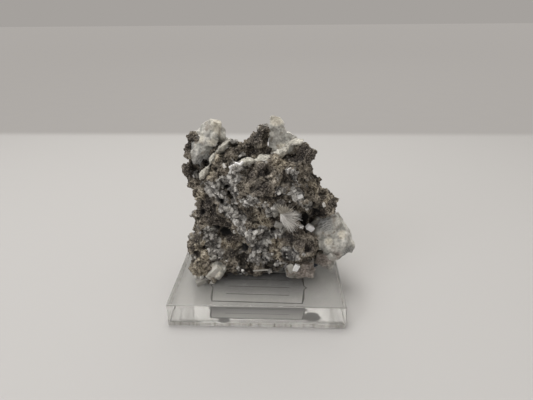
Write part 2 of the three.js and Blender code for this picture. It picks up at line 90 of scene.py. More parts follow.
MIDDLE = (0, 0, 25)
ROOM_GREY = paint("#a5a19d")
soft_light("ceiling_light", (-70, 40, 620), MIDDLE, 420, 2.6, "#fffdf9")
soft_light("far_ceiling_light", (20, 700, 600), MIDDLE, 760, 0.9, "#fffdf6")
soft_light("window_light", (-420, -400, 320), MIDDLE, 380, 0.95, "#f8f9ff")
world = bpy.data.worlds.new("room")
bpy.context.scene.world = world
world.use_nodes = True
world.node_tree.nodes["Background"].inputs["Color"].default_value = ROOM_GREY
world.node_tree.nodes["Background"].inputs["Strength"].default_value = 1.0


class Wire:
    """An output of a node. Operators on it add Math nodes to its tree, and add() puts in any other node."""

    def __init__(self, tree, socket=None):
        self.tree = tree
        self.socket = socket

    def add(self, kind, settings=None, inputs=None, output=0):
        node = self.tree.nodes.new(kind)
        for name, value in (settings or {}).items():
            if name == "stops":
                self.set_stops(node.color_ramp, value)
            else:
                setattr(node, name, value)
        for name, value in (inputs or {}).items():
            if isinstance(value, Wire):
                self.tree.links.new(value.socket, node.inputs[name])
            else:
                node.inputs[name].default_value = value
        return Wire(self.tree, None if output is None else node.outputs[output])

    def set_stops(self, ramp, stops):
        for place, _ in stops[1:-1]:
            ramp.elements.new(place)
        ramp.elements[0].position = stops[0][0]
        ramp.elements[-1].position = stops[-1][0]
        for element, (_, code) in zip(ramp.elements, stops):
            element.color = paint(code)

    def maths(self, operation, *values):
        return self.add("ShaderNodeMath", {"operation": operation}, dict(enumerate(values)))

    def __add__(self, other):
        return self.maths("ADD", self, other)

    def __radd__(self, other):
        return self.maths("ADD", other, self)

    def __sub__(self, other):
        return self.maths("SUBTRACT", self, other)

    def __rsub__(self, other):
        return self.maths("SUBTRACT", other, self)

    def __mul__(self, other):
        return self.maths("MULTIPLY", self, other)

    def __rmul__(self, other):
        return self.maths("MULTIPLY", other, self)

    def __truediv__(self, other):
        return self.maths("DIVIDE", self, other)

    def __gt__(self, other):
        return self.maths("GREATER_THAN", self, other)

    def __lt__(self, other):
        return self.maths("LESS_THAN", self, other)

    def __abs__(self):
        return self.maths("ABSOLUTE", self)

    def larger(self, other):
        return self.maths("MAXIMUM", self, other)

    def smaller(self, other):
        return self.maths("MINIMUM", self, other)

    def between(self, low, high):
        """0 below low, 1 above high, and a soft step in between."""
        return self.add("ShaderNodeMapRange", {"interpolation_type": "SMOOTHSTEP"},
                        {"Value": self, "From Min": low, "From Max": high})

    def ramp(self, *stops):
        return self.add("ShaderNodeValToRGB", {"stops": stops}, {0: self})

    def mix(self, first, last):
        """The first colour where this wire is 0, the last colour where it is 1."""
        return self.add("ShaderNodeMix", {"data_type": "RGBA"}, {0: self, 6: first, 7: last}, output=2)

    def vector(self, operation, other=(0, 0, 0), scale=1.0, output=0):
        return self.add("ShaderNodeVectorMath", {"operation": operation},
                        {0: self, 1: other, 3: scale}, output=output)

    def part(self, axis):
        return self.add("ShaderNodeSeparateXYZ", None, {0: self}, output=axis)

    def noise(self, size, detail=2.0, roughness=0.5, output=0):
        """Soft noise at this place, with blots of this size in millimetres."""
        return self.add("ShaderNodeTexNoise", None, {
            "Vector": self, "Scale": 1 / (size * MM), "Detail": detail, "Roughness": roughness}, output)

    def cells(self, size, output=0, metric="EUCLIDEAN"):
        """How far this place is from the middle of its cell, or the cell's own colour."""
        return self.add("ShaderNodeTexVoronoi", {"distance": metric},
                        {"Vector": self, "Scale": 1 / (size * MM)}, output)

    def shaken(self, size, far):
        """This place moved by soft noise of a size, by up to about half of a distance in millimetres."""
        swirl = self.noise(size, output=1).vector("SUBTRACT", (0.5, 0.5, 0.5))
        return self.vector("ADD", swirl.vector("SCALE", scale=far * MM))


def new_material(name):
    """A material with no nodes but its place on the object, in metres."""
    material = bpy.data.materials.new(name)
    material.use_nodes = True
    material.node_tree.nodes.clear()
    return material, Wire(material.node_tree).add("ShaderNodeTexCoord", output="Object")


def principled(place, **sockets):
    """The general surface shader, with its sockets named in words joined by _."""
    words = {name: "IOR" if name == "ior" else name.replace("_", " ").title() for name in sockets}
    inputs = {words[name]: value for name, value in sockets.items()}
    return place.add("ShaderNodeBsdfPrincipled", None, inputs)


def bump(place, height, distance):
    """The normal of a relief whose height runs from 0 to 1 over a distance in millimetres."""
    return place.add("ShaderNodeBump", None, {
        "Height": height, "Distance": distance * MM, "Strength": 1.0}, output="Normal")


def shown(place, shader, volume=None):
    place.add("ShaderNodeOutputMaterial", None, {"Surface": shader}, output=None)
    if volume:
        place.tree.links.new(volume.socket, place.tree.nodes["Material Output"].inputs["Volume"])


def only(piece):
    """Selects one piece and nothing else."""
    bpy.ops.object.select_all(action="DESELECT")
    piece.select_set(True)
    bpy.context.view_layer.objects.active = piece


bpy.ops.object.select_all(action="DESELECT")
bpy.ops.mesh.primitive_plane_add(size=TABLE_SIDE, location=(0, 0, -TABLE_DROP * MM))
table = bpy.context.object
table.name = "table"
bpy.ops.object.transform_apply()
table_paint, at = new_material("table_paint")
far = at.part(1).between(TABLE_GREY_FROM * MM, TABLE_GREY_TO * MM)
table_colour = far.mix(paint("#c4c3c2"), paint("#1c1b1a"))
glow = far.mix(paint("#000000"), ROOM_GREY)
shown(at, principled(at, base_color=table_colour, roughness=0.75 + 0.1 * at.noise(20), emission_color=glow,
                     emission_strength=1.0))
table.data.materials.append(table_paint)

# The slab: a square block of clear cast acrylic with small polished bevels and saw-cut sides that keep faint
# upright streaks. It lies flat on the table and carries everything else.
slab_low, slab_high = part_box("acrylic_base")
SLAB_BEVEL = 0.3
SLAB_TOP = slab_high.z / MM
SAW_MARKS_END = (1.3, 1.6)  # the heights between which the saw marks fade out
# How much of a pale film lies on each face of the slab: on the saw cuts it is real frosting, elsewhere it is
# mostly painted light, which brightens the top, the sides, the top edge and the underside where little light
# comes through the glass.
HAZE_AND_PAINTED_LIGHT = {"top": 0.12, "side": 0.17, "top edge": 0.2, "saw cut": 0.25, "underside": 0.06, "all over": 0.02}


def finish_piece(piece, name, material, slot, *nodes):
    """Names a piece, gives it its material, ties it to the body and hides the solids that it stands for."""
    piece.name = name
    piece.data.name = name
    piece.data.materials.clear()
    piece.data.materials.append(material)
    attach(piece, "root")
    if nodes:
        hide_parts(*nodes)


def apply_all(piece):
    only(piece)
    for modifier in list(piece.modifiers):
        bpy.ops.object.modifier_apply(modifier=modifier.name)


bpy.ops.object.select_all(action="DESELECT")
bpy.ops.mesh.primitive_cube_add(size=1, location=(slab_low + slab_high) / 2, scale=slab_high - slab_low)
slab = bpy.context.object
bpy.ops.object.transform_apply()
slab_edges = slab.modifiers.new("polished_edges", "BEVEL")
slab_edges.width = SLAB_BEVEL * MM
slab_edges.segments = 3
apply_all(slab)
acrylic, at = new_material("clear_acrylic")
streaks = at.vector("MULTIPLY", (1.0, 1.0, 0.08)).noise(1.6, detail=3)
height = at.part(2) / MM
top_face = height.between(SLAB_TOP - 0.04, SLAB_TOP - 0.01)
top_edge = height.between(SLAB_TOP - 0.3, SLAB_TOP - 0.2) - top_face
saw_cut = (1 - height.between(*SAW_MARKS_END)) * (height > 0.02)
glass = principled(at, base_color=paint("#ffffff"), roughness=0.02 + saw_cut * 0.06, ior=1.49,
                   transmission_weight=1.0)
cut = streaks.ramp((0.35, "#a09b90"), (0.5, "#dedcd5"), (0.7, "#f4f2ec"))
# The pale film: real frosting with streaks on the saw cuts, and painted light on the other faces.
film_and_painted_light = principled(at, base_color=saw_cut.mix(paint("#f6f5ee"), cut), roughness=0.5)
underside = height < 0.02
side_face = abs(at.part(0)).larger(abs(at.part(1))) > (slab_high.x - 0.05 * MM)
haze_and_painted_light = (top_face * HAZE_AND_PAINTED_LIGHT["top"] + side_face * HAZE_AND_PAINTED_LIGHT["side"] + top_edge * HAZE_AND_PAINTED_LIGHT["top edge"]
        + saw_cut * HAZE_AND_PAINTED_LIGHT["saw cut"] + underside * HAZE_AND_PAINTED_LIGHT["underside"] + HAZE_AND_PAINTED_LIGHT["all over"])
tint = at.add("ShaderNodeVolumeAbsorption", None, {"Color": paint("#e6eeee"), "Density": 1.0})
shown(at, at.add("ShaderNodeMixShader", None, {0: haze_and_painted_light, 1: glass, 2: film_and_painted_light}), tint)
finish_piece(slab, "clear_slab", acrylic, "acrylic", "acrylic_base")

# The label: a sheet of pale grey paper glued under the slab, seen through it, painted darker towards its back
# with the shade and the reflection of the stone above it. It has a thin black border whose ends have a small
# point, and plain ruled lines.
label_low, label_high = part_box("label")
LABEL_INSET = 0.04  # how far the sheet lies inside the slab's underside
LABEL_SHEET = 0.05
LABEL_TURN = -1.1
LABEL_HALF = 7.7  # half of its depth
LABEL_END = 13.6  # half of its width at the corners
LABEL_SWELL = 14.4  # and beside the point in the middle of each end
LABEL_POINT = 15.2  # and at that point
BORDER_LINE = 0.34
RULED_LINES = (-3.9, -0.1, 3.7)
RULED_HALF = 9.6
RULED_EDGE = (0.1, 0.22)  # how far from its middle a ruled line fades out
label_middle = (label_low + label_high) / 2
right_end = [
    (LABEL_END, -LABEL_HALF), (LABEL_SWELL - 0.2, -LABEL_HALF + 2.2), (LABEL_SWELL, -1.0), (LABEL_POINT, 0)]
right_end += [(x, -y) for x, y in reversed(right_end[:-1])]
label_outline = right_end + [(-x, y) for x, y in reversed(right_end)]
label_mesh = bpy.data.meshes.new("paper_label")
label_mesh.from_pydata([(x * MM, y * MM, 0) for x, y in label_outline], [], [range(len(label_outline))])
label = bpy.data.objects.new("paper_label", label_mesh)
bpy.context.scene.collection.objects.link(label)
label.location = (label_middle.x, label_middle.y, LABEL_INSET * MM)
label.rotation_euler.z = math.radians(LABEL_TURN)
only(label)
bpy.ops.object.transform_apply()
label_sheet = label.modifiers.new("sheet", "SOLIDIFY")
label_sheet.thickness = LABEL_SHEET * MM
label_sheet.offset = 1
apply_all(label)
paper, at = new_material("label_paper")
upright_label = at.add("ShaderNodeMapping", {"vector_type": "TEXTURE"}, {
    "Vector": at, "Location": (label_middle.x, label_middle.y, 0),
    "Rotation": (0, 0, math.radians(LABEL_TURN))})
along = abs(upright_label.part(0) / MM)
down = upright_label.part(1) / MM
deep = abs(down)
swell = LABEL_END + (1 - (deep - 1).larger(0.0) / (LABEL_HALF - 1)) * (LABEL_SWELL - LABEL_END)
end = swell + (1 - deep).larger(0.0) * (LABEL_POINT - LABEL_SWELL)
inside = (end - along).smaller(LABEL_HALF - deep)
ink = 1 - inside.between(BORDER_LINE - 0.06, BORDER_LINE + 0.06)
for line in RULED_LINES:
    ruled = abs(down - line)
    ink = ink.larger((1 - ruled.between(*RULED_EDGE)) * (along < RULED_HALF) * 0.7)
fibre = at.noise(0.5, detail=4)
# Painted shade and reflection: the paper turns from pale grey at its front to dark blue-grey at its back,
# under the stone.
sheet = down.between(-8.0, 2.0).mix(fibre.mix(paint("#c6c5c2"), paint("#d4d3d0")), paint("#7f7f83"))
sheet = down.between(-1.0, 8.0).mix(sheet, paint("#393a3f"))
shown(at, principled(at, base_color=ink.mix(sheet, paint("#0d0e10")), roughness=0.75,
                     normal=bump(at, fibre, 0.02)))
finish_piece(label, "paper_label", paper, "paper", "label")

# The putty: two lumps of dull blue-black putty, pressed flat between the stone and the slab, that hold the
# stone. Where they wet the slab, they show through its front.
PUTTY_VOXEL = 0.3
PUTTY_LUMPS = {  # the middle and radius of each lump
    "left": ((-10.9, -5.6, 8.2, 1.9), (-10.9, -3.4, 8.2, 1.8)),
    "right": ((17.4, 0.4, 8.2, 2.2), (18, -2, 8.2, 2.2), (15.6, -1, 8.2, 2.0)),
}
PUTTY_CONTACT = {"left": (-10.9, -4.7, 1.9, 3.0), "right": (17.2, -1.6, 3.0, 3.8)}  # middle and half-widths
PUTTY_WET = 0.06  # how deep the putty has wetted the slab there, which shows it through the slab's front


def ball(place, radius):
    bpy.ops.object.select_all(action="DESELECT")
    bpy.ops.mesh.primitive_ico_sphere_add(subdivisions=3, radius=radius * MM, location=Vector(place) * MM)
    bpy.ops.object.transform_apply()
    return bpy.context.object


def copy_of(node, voxel, more=(), worn=0):
    """A closed copy of a CAD solid, grown together with more shapes, with faces a voxel wide in millimetres.
    "worn" is how many times its edges are smoothed."""
    piece = bpy.data.objects.new(node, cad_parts[node].data.copy())
    bpy.context.scene.collection.objects.link(piece)
    only(piece)
    for shape in more:
        shape.select_set(True)
    bpy.ops.object.join()
    bpy.ops.object.mode_set(mode="EDIT")
    bpy.ops.mesh.select_all(action="SELECT")
    bpy.ops.mesh.remove_doubles(threshold=0.001 * MM)
    bpy.ops.object.mode_set(mode="OBJECT")
    even = piece.modifiers.new("even_mesh", "REMESH")
    even.mode = "VOXEL"
    even.voxel_size = voxel * MM
    if worn:
        wear = piece.modifiers.new("worn_edges", "SMOOTH")
        wear.iterations = worn
        wear.factor = 0.5
    apply_all(piece)
    return piece


def by_nodes(piece, name, build):
    """Changes a piece by a tree of geometry nodes. "build" gets the geometry and returns the new one."""
    tree = bpy.data.node_groups.new(name, "GeometryNodeTree")
    tree.interface.new_socket("Geometry", in_out="INPUT", socket_type="NodeSocketGeometry")
    tree.interface.new_socket("Geometry", in_out="OUTPUT", socket_type="NodeSocketGeometry")
    geometry = Wire(tree).add("NodeGroupInput")
    Wire(tree).add("NodeGroupOutput", None, {0: build(geometry)}, output=None)
    modifier = piece.modifiers.new(name, "NODES")
    modifier.node_group = tree
    apply_all(piece)


def raised(geometry, height):
    """A geometry whose points are moved out along their normals by a height in millimetres."""
    out = geometry.add("GeometryNodeInputNormal").vector("SCALE", scale=height * MM)
    return geometry.add("GeometryNodeSetPosition", None, {"Geometry": geometry, "Offset": out})


def kept(geometry, name, value, kind="FLOAT", domain="POINT"):
    """A geometry that keeps a value at each point, or for each copy, under a name."""
    return geometry.add("GeometryNodeStoreNamedAttribute", {"data_type": kind, "domain": domain},
                        {"Geometry": geometry, "Name": name, "Value": value})


def stored(place, name, kind="FLOAT"):
    """A value kept at each point, as geometry nodes read it."""
    return place.add("GeometryNodeInputNamedAttribute", {"data_type": kind}, {"Name": name}, "Attribute")


def kept_value(place, name):
    """A value kept at each point, as a material reads it."""
    return place.add("ShaderNodeAttribute", {"attribute_name": name}, output="Fac")


def points_of(piece):
    places = np.empty(len(piece.data.vertices) * 3, np.float32)
    piece.data.vertices.foreach_get("co", places)
    return places.reshape(-1, 3)


def put_points(piece, places):
    piece.data.vertices.foreach_set("co", places.ravel())
    piece.data.update()


def stand_on(piece, level):
    """No point of a piece lies lower than a level in millimetres."""
    places = points_of(piece)
    places[:, 2] = places[:, 2].clip(level * MM)
    put_points(piece, places)


def press_down(piece, contact):
    """The foot of a piece lies on the slab, and wets it inside an ellipse."""
    places = points_of(piece)
    x, y, half_x, half_y = (value * MM for value in contact)
    wet = ((places[:, 0] - x) / half_x) ** 2 + ((places[:, 1] - y) / half_y) ** 2 < 1
    low = places[:, 2] < (SLAB_TOP + 0.4) * MM
    places[low, 2] = np.where(wet[low], SLAB_TOP - PUTTY_WET, SLAB_TOP + 0.02) * MM
    put_points(piece, places)


def pressed_putty(geometry):
    spot = geometry.add("GeometryNodeInputPosition")
    return raised(geometry, (spot.noise(2.2, detail=3) - 0.55) * 0.7)


putty_paint, at = new_material("dull_putty")
smear = at.noise(1.4, detail=4)
shown(at, principled(at, base_color=smear.ramp((0.3, "#1d232b"), (0.55, "#3a4450"), (0.8, "#6d7782")),
                     roughness=0.5 + 0.3 * smear, normal=bump(at, at.noise(0.3), 0.06)))
for side, lumps in PUTTY_LUMPS.items():
    putty = copy_of("putty_" + side, PUTTY_VOXEL, [ball(lump[:3], lump[3]) for lump in lumps])
    by_nodes(putty, "press", pressed_putty)
    press_down(putty, PUTTY_CONTACT[side])
    only(putty)
    bpy.ops.object.shade_smooth()
    finish_piece(putty, "putty_pad_" + side, putty_paint, "putty", "putty_" + side)

# The matrix: weathered brown-grey volcanic rock, lumpy and full of grains and pits, which the crystals grew
# on. Pale crusts of crystals spread over it between tan and dark lumps and deep hollows, which are painted
# black with shade.
ROCK_VOXEL = 0.34
SHARP_FROM = 38  # edges of the rock and the veins that turn by more degrees than this look sharp
# Each knob and spot is given by its middle and its radius.
ROCK_KNOBS = (
    (-18.9, -2.0, 48.8, 2.4), (-19.5, -2.4, 46.9, 2.3), (-19.6, -2.8, 44.4, 1.6), (-20.4, -4.2, 39.8, 1.9),
    (-19.8, -4.4, 38.2, 1.7), (-19.0, -5.4, 36.4, 1.7),
    (1.6, -2.6, 51.0, 1.9), (-0.4, -3.4, 48.8, 2.2),
)
PALE_SPOTS = (
    (-7, -2.7, 49, 1.6), (-4.5, -4.3, 44.4, 1.6), (10.4, -12.7, 41.6, 2), (8.7, -11.8, 42.6, 1.2),
    (-18.5, -4.1, 35.4, 2.4), (-15.6, -9.8, 40.4, 2), (-19.2, -4, 38.3, 2), (-13.2, -9.4, 36.7, 2.6),
    (-9.4, -9.3, 38.3, 2.6), (-6.9, -8.9, 39.1, 2.6), (-6.7, -9.6, 35.8, 2), (-10.3, -10, 34, 2),
    (6.4, -11.9, 36.5, 1.6), (11.3, -10.3, 35, 2.4), (-9.7, -10.3, 30.4, 2), (-7.6, -10.2, 29, 2.6),
    (-5.4, -9.7, 26.7, 2.6), (-3.8, -11.3, 31.9, 2.2), (-1.3, -13.2, 34.2, 2.2), (6.2, -10.5, 31.6, 2.4),
    (4, -10.8, 29.7, 2), (1.7, -12.9, 24.5, 2.4), (-1.4, -14.8, 24.7, 2.6), (-4.2, -11.4, 23.7, 2),
    (-14.6, -10.3, 22.2, 3), (-13.8, -9.6, 18.6, 3.2), (-13.6, -11.3, 15.3, 3), (4, -11.3, 22.1, 2),
    (6.7, -10.1, 22.3, 2), (2.7, -11.8, 20, 2), (-17.1, -16.2, 8.5, 2.4), (0.9, -13, 18.1, 2.6),
    (-1.1, -12.4, 14.7, 2.2), (2.7, -12.1, 14.4, 2.2), (8.6, -13.1, 17.5, 2.2), (10.5, -14.2, 17.4, 2.2),
    (6.6, -13.8, 13.5, 2.2), (-11.9, -14, 12.5, 2), (-5.2, -12.7, 9.5, 2.2), (-2.1, -13.2, 21.4, 2.4),
    (-11, 12, 30, 5), (6, 15, 22, 6), (12, 14, 34, 4), (-14, 9, 18, 4), (0, 12, 44, 4), (14.6, -6.3, 30.3, 2),
    (-14.8, -10.1, 20.5, 2), (-14.1, -10.5, 16.5, 2),
)
TAN_SPOTS = (
    (-11.6, -8.4, 45.6, 2.6), (-13.7, -8.5, 41.2, 2.6), (6.4, -9.7, 44.6, 3.4), (-0.3, -12.2, 28.1, 3.4),
    (2.2, -11.5, 26.4, 2.4), (5.6, -10.6, 19.7, 2.4), (-17.3, -13.3, 20.2, 3.4), (-16.2, -14.3, 17.2, 3.4),
    (-18, -16.5, 12.6, 4), (-10.0, -9.4, 18.1, 2.2), (-7.1, -9.6, 18.2, 2.4), (5.3, -12.1, 16.1, 2.6),
    (-16.9, -9.6, 33.6, 2.6), (17, -6, 35, 3.6), (20.4, -5, 32.4, 3.4), (-18, 4, 24, 5), (4, 14, 34, 5),
)
DARK_SPOTS = (
    (-0.4, -3.9, 50, 3.8), (1.6, -2.8, 52.1, 2.4), (-1.6, -3.5, 46.7, 3.4), (13.5, -6.3, 47.6, 5),
    (11.8, -6.7, 45.5, 3.4), (15.6, -6, 43.6, 3.2), (-9.2, -7.3, 47.5, 2), (-6.4, -4.8, 46.3, 2),
    (1.7, -10.7, 42.7, 3), (-2, -9.8, 40.8, 2.6), (16.4, -6.9, 35.2, 2), (19.6, -4.3, 32.1, 2),
    (22.2, -4.9, 29.9, 2.2), (1.8, -14, 37.7, 4), (-16, -10.3, 29.3, 3), (-13.5, -10.7, 28.1, 3.2),
    (-10.7, -9.7, 24.8, 3.2), (5.3, -10.7, 25.5, 1.2), (9.7, -11.3, 21.6, 3), (12.7, -14, 21.7, 2.6),
    (15.4, -13.9, 20.1, 3), (11.6, -10, 23.1, 2.2), (-18.7, -10.2, 20.5, 2.2), (-7.9, -11.6, 16.4, 2),
    (-20.8, -3.9, 39.9, 3.2), (-20, -2, 47, 4), (-6, 14, 20, 5), (-12.5, -10, 26.2, 4), (13, -13, 19.5, 2.6),
    (-8.2, -11, 20, 3), (14.5, -5, 44.5, 4), (18, -6, 31.5, 2.4), (-19.8, -3.5, 48.5, 3.2),
    (-21, -4, 41, 3.6), (-20.6, -4.2, 38.2, 3), (15.5, -6.2, 46, 5.5), (-14, -10.5, 31, 3),
)
RUST_SPOTS = (
    (-5.9, -8.8, 40.6, 0.9), (-5.0, -8.9, 41.2, 0.9), (-4.1, -9.0, 41.9, 0.9), (-3.2, -9.2, 42.5, 0.8),
    (18, -8, 28, 1.0),
)
HOLLOW_SPOTS = (
    (-8.5, -9.5, 36.7, 1.3), (-8.1, -9.4, 34.4, 1.2), (-10.1, -10.1, 32.3, 1.2), (14.5, -6.5, 25, 2.8),
    (17, -6.9, 27, 2.4), (-10.2, -9.5, 21.8, 2.4), (-4.3, -10.6, 17.7, 2.0), (14.2, -14.4, 16.4, 1.5),
    (-12.3, -9.6, 23.4, 1.6), (4.9, -10.9, 23.7, 1.3), (-16.4, -10.1, 29.3, 1.6), (12.9, -6.8, 26, 1.8),
    (2, 14, 28, 3.4), (-10, 11, 36, 2.6), (12, 12, 18, 2.8), (-20, 2, 31, 2), (22, 2, 24, 2.2),
)
HOLLOW_DEPTH = 2.2


def keep_value(piece, name, value):
    """Keeps a value, or one for each point, at the points of a piece."""
    layer = piece.data.attributes.new(name, "FLOAT", "POINT")
    layer.data.foreach_set("value", np.broadcast_to(value, len(piece.data.vertices)).astype(np.float32))


def keep_spots(piece, name, spots):
    """Keeps at each point of a piece how near it is to the spots: 1 in a spot's middle, 0 outside them."""
    places = points_of(piece) / MM
    near = np.zeros(len(places), np.float32)
    for x, y, z, radius in spots:
        near = np.maximum(near, 1 - np.linalg.norm(places - (x, y, z), axis=1) / radius)
    keep_value(piece, name, near)


def rock_relief(geometry):
    """The rock's relief: lumps, grains and pits, or close-packed crystals where the crust has grown."""
    spot = geometry.add("GeometryNodeInputPosition")
    loose = spot.shaken(2.0, 1.6)
    middle = spot.noise(1.3, detail=4, roughness=0.65)
    broad = spot.noise(4.5)
    crystal = (stored(spot, "pale") * 1.8 + 1.2 * (middle - 0.5) + 1.1 * (broad - 0.46)
               - 1.0 * stored(spot, "dark") - 0.6 * stored(spot, "tan")).between(0.1, 0.36)
    lumps = 0.48 - spot.shaken(4.0, 2.6).cells(4.4)
    pebbles = 0.5 - loose.cells(2.0)
    grains = 0.5 - spot.shaken(0.8, 0.5).cells(0.9)
    crumbs = spot.noise(0.7, detail=3, roughness=0.7) - 0.5
    pits = (0.42 - loose.noise(2.6, detail=1)).between(0.0, 0.1)
    stony = pebbles * 0.9 + grains * 0.8 + crumbs * 1.3 - pits * 0.9 - 0.1
    packed = spot.shaken(1.2, 0.7)
    gap = packed.cells(1.35)
    crusted = (0.5 - gap) * 1.5 + (0.5 - packed.cells(0.7)) * 0.5 + (middle - 0.5) * 1.2 - 0.2
    height = lumps * 2.2 + stony * (1 - crystal) + crusted * crystal
    tone = packed.cells(1.35, output=1).part(0)
    for name, value in (("height", height), ("crystal", crystal), ("gap", gap), ("tone", tone)):
        geometry = kept(geometry, name, value)
    return raised(geometry, height - stored(spot, "hollow") * HOLLOW_DEPTH)


rock = copy_of("matrix_rock", ROCK_VOXEL, [ball(knob[:3], knob[3]) for knob in ROCK_KNOBS])
for attribute, spots in (
        ("pale", PALE_SPOTS), ("tan", TAN_SPOTS), ("dark", DARK_SPOTS), ("rust", RUST_SPOTS),
        ("hollow", HOLLOW_SPOTS)):
    keep_spots(rock, attribute, spots)
by_nodes(rock, "relief", rock_relief)
stand_on(rock, SLAB_TOP + 0.05)
only(rock)
bpy.ops.object.shade_smooth_by_angle(angle=math.radians(SHARP_FROM))

rock_paint, at = new_material("weathered_rock")
broad = at.noise(4.5, detail=2)
middle = at.noise(1.3, detail=4, roughness=0.65)
fine = at.noise(0.4, detail=3, roughness=0.7)
brown = (0.25 * broad + 0.45 * middle + 0.3 * fine).ramp(
    (0.39, "#1e1a17"), (0.45, "#4d463d"), (0.505, "#857d70"), (0.56, "#aaa295"), (0.65, "#cfc8bb"))
tan = (kept_value(at, "tan") * 1.4 + middle - 0.5).between(0.2, 0.65)
colour = tan.mix(brown, (0.45 * middle + 0.55 * fine).ramp(
    (0.37, "#2e2720"), (0.46, "#796e5e"), (0.54, "#b0a794"), (0.64, "#ded7c8")))
dark = (kept_value(at, "dark") * 1.4 + middle - 0.5).between(0.2, 0.75)
colour = (dark * 0.85).mix(colour, fine.ramp(
    (0.38, "#100e0d"), (0.48, "#332d29"), (0.57, "#665e56"), (0.68, "#b0a99f")))
crystal = (kept_value(at, "crystal") + 0.5 * (fine - 0.5)).between(0.3, 0.7)
glaze = (0.4 * kept_value(at, "tone") + 0.6 * fine).ramp(
    (0.22, "#63605c"), (0.4, "#96938e"), (0.55, "#bfbcb6"), (0.7, "#e4e2dc"))
# Painted shade between the packed crystals of the crust: the glaze turns dark where a place lies far from its
# crystal's middle.
gaps = kept_value(at, "gap").between(0.45, 0.8)
colour = crystal.mix(colour, (gaps * 0.8).mix(glaze, paint("#302c29")))
rust = (kept_value(at, "rust") + 0.6 * (fine - 0.5)).between(0.2, 0.5)
colour = (rust * 0.8).mix(colour, paint("#96703f"))
# Painted shade in the rock's low places: the lower the relief, the darker the colour.
sunken_painted_shade = (kept_value(at, "height") * -1.0).between(0.1, 1.1)
colour = (sunken_painted_shade * 0.78).mix(colour, paint("#131010"))
# Painted shade: the deep hollows are painted near black.
colour = kept_value(at, "hollow").between(0.15, 0.6).mix(colour, paint("#0e0c0b"))
shown(at, principled(at, base_color=colour, roughness=0.9 - 0.45 * crystal,
                     normal=bump(at, at.noise(0.22, detail=3, roughness=0.7), 0.12)))
finish_piece(rock, "rock_surface", rock_paint, "rock", "matrix_rock")

# The grit: grains of brown, tan and near-black mineral that stand out of the rock all over. Each grain has
# grown fast to the rock.


def small_shape(name, make, jitter=0.0):
    """A small shape of unit size, out of the scene's sight, for copying."""
    bpy.ops.object.select_all(action="DESELECT")
    make()
    shape = bpy.context.object
    shape.name = name
    if jitter:
        bpy.ops.object.mode_set(mode="EDIT")
        bpy.ops.mesh.select_all(action="SELECT")
        bpy.ops.transform.vertex_random(offset=jitter, seed=3)
        bpy.ops.object.mode_set(mode="OBJECT")
    shape.hide_render = True
    return shape


def random_vector(geometry, low, high, seed):
    return geometry.add("FunctionNodeRandomValue", {"data_type": "FLOAT_VECTOR"}, {0: low, 1: high, 8: seed})


def random_number(geometry, low, high, seed):
    return geometry.add("FunctionNodeRandomValue", {"data_type": "FLOAT"}, {2: low, 3: high, 8: seed}, 1)


def copies_at(geometry, points, shape, turns, scales, seed):
    """A copy of a shape at each point, made real, which keeps its own tone between 0 and 1."""
    one = geometry.add("GeometryNodeObjectInfo", None, {"Object": shape}, output="Geometry")
    copies = geometry.add("GeometryNodeInstanceOnPoints", None, {
        "Points": points, "Instance": one, "Rotation": turns, "Scale": scales})
    toned = kept(copies, "tone", random_number(geometry, 0.0, 1.0, seed), domain="INSTANCE")
    return geometry.add("GeometryNodeRealizeInstances", None, {"Geometry": toned})


def scattered(ground, shape, name, spacing, chance, size, seed, tilt=180, sink=0.0):
    """Copies of a small shape on a piece, joined in one mesh. "chance" gives the share of places that are
    taken, "size" the least and largest half-sizes, and "tilt" how far in degrees they lean from upright."""
    piece = bpy.data.objects.new(name, ground.data.copy())
    bpy.context.scene.collection.objects.link(piece)

    def build(geometry):
        spot = geometry.add("GeometryNodeInputPosition")
        spread = geometry.add("GeometryNodeDistributePointsOnFaces", {"distribute_method": "POISSON"}, {
            "Mesh": geometry, "Distance Min": spacing * MM, "Density Max": 0.9 / (spacing * MM) ** 2,
            "Density Factor": chance(spot), "Seed": seed}, output="Points")
        outputs = spread.socket.node.outputs
        inward = Wire(geometry.tree, outputs["Normal"]).vector("SCALE", scale=-sink * MM)
        points = geometry.add("GeometryNodeSetPosition", None, {"Geometry": spread, "Offset": inward})
        lean = math.radians(tilt)
        turns = geometry.add("FunctionNodeRotateRotation", {"rotation_space": "LOCAL"}, {
            0: Wire(geometry.tree, outputs["Rotation"]),
            1: random_vector(geometry, (-lean, -lean, -math.pi), (lean, lean, math.pi), seed + 1)})
        scales = random_vector(geometry, (size[0] * MM,) * 3, (size[1] * MM,) * 3, seed + 2)
        return copies_at(geometry, points, shape, turns, scales, seed + 3)

    by_nodes(piece, name, build)
    return piece


def open_ground(spot):
    """1 on open ground, 0 in the hollows."""
    return 1 - stored(spot, "hollow").between(0.1, 0.4)


chip = small_shape(
    "chip_shape", lambda: bpy.ops.mesh.primitive_ico_sphere_add(subdivisions=1, radius=1), jitter=0.25)

grit_paint, at = new_material("rock_grit")
shade = (0.6 * kept_value(at, "tone") + 0.4 * at.noise(1.2, detail=3)).ramp(
    (0.2, "#171412"), (0.38, "#3a342e"), (0.55, "#675f54"), (0.7, "#847c6f"), (0.85, "#a69e90"))
shown(at, principled(at, base_color=shade, roughness=0.7 + 0.25 * at.noise(0.3),
                     normal=bump(at, at.noise(0.12), 0.05)))
grit = scattered(rock, chip, "rock_grit", 0.78,
                 lambda spot: (0.9 - stored(spot, "crystal")) * open_ground(spot), (0.1, 0.34), 5)
finish_piece(grit, "rock_grit", grit_paint, "rock")

# The crust: small clear to milky crystals, squat blocks with cut edges, that cover the pale parts of the
# rock. The large ones stand apart, and the small ones fill the gaps between them.


def crusted_ground(spot):
    """How likely a crystal of the crust is at a place."""
    return stored(spot, "crystal") * (1 - stored(spot, "hollow").between(0.05, 0.3)) * 0.85


